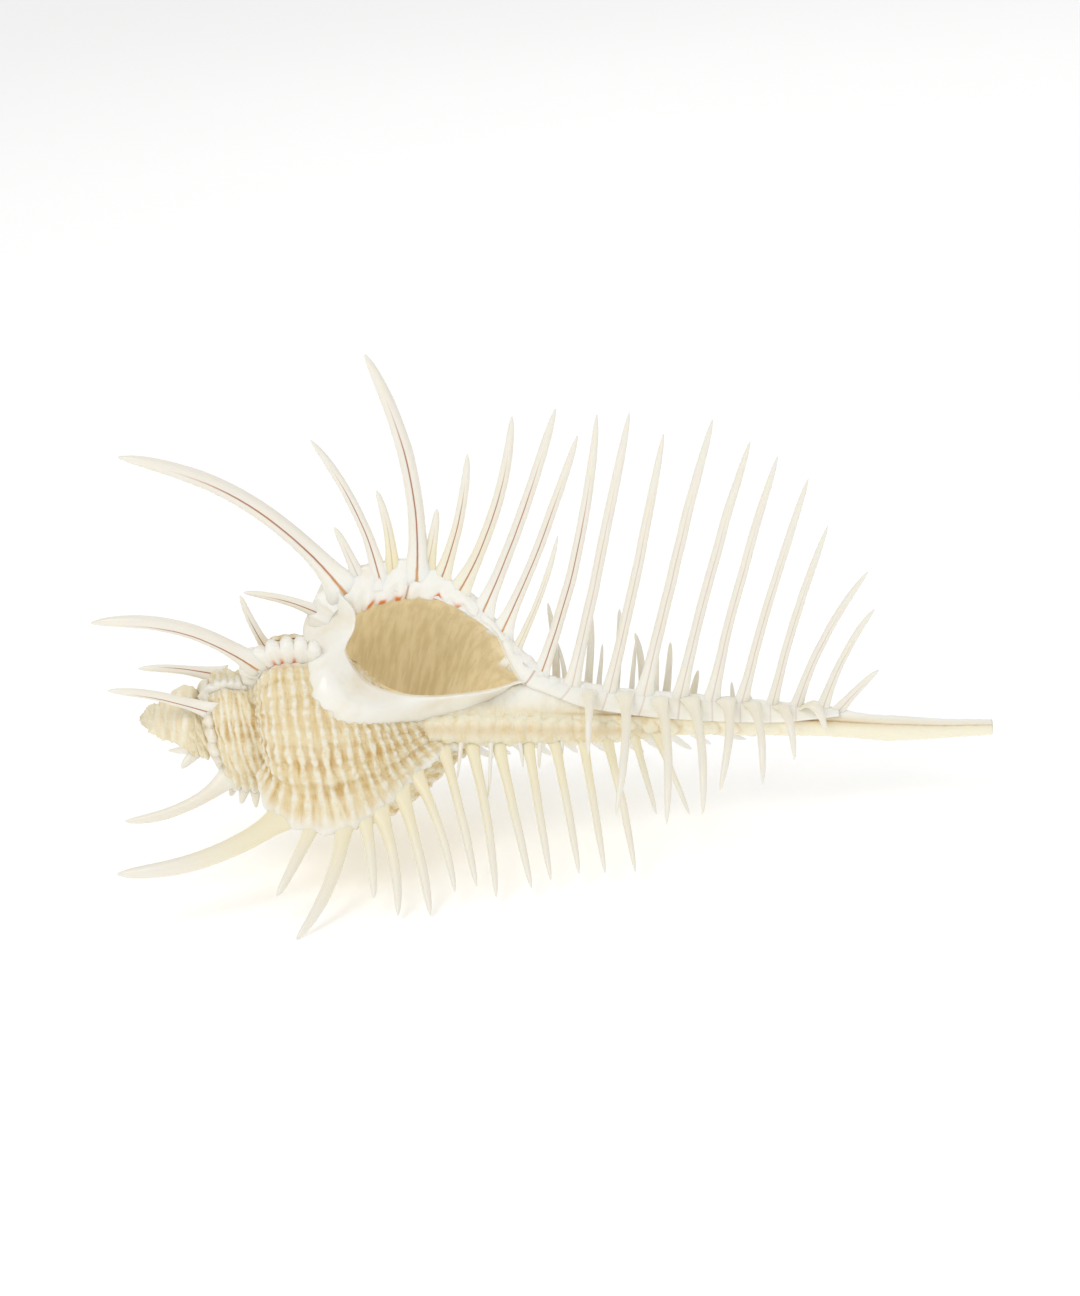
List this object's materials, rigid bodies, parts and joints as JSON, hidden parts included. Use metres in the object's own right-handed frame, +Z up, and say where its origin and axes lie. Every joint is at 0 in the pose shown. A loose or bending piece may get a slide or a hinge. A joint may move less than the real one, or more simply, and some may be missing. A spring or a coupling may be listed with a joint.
{
  "type": "murex shell",
  "caption": "Spiny sea shell with a long straight siphonal canal and combs of long curved spines, lying on its spine tips.",
  "frame": {"origin": "centre of the object's box in X and Y, on the surface that the spine tips rest on", "axes": "+X from the apex towards the end of the siphonal canal, +Z up, and the aperture faces -Y"},
  "size_m": [0.1328, 0.0706, 0.0798],
  "materials": {
    "shell": "ivory shell with tan bands, glossy white at the aperture"
  },
  "bodies": {
    "root": {"murex_shell": "shell"}
  },
  "joints": []
}
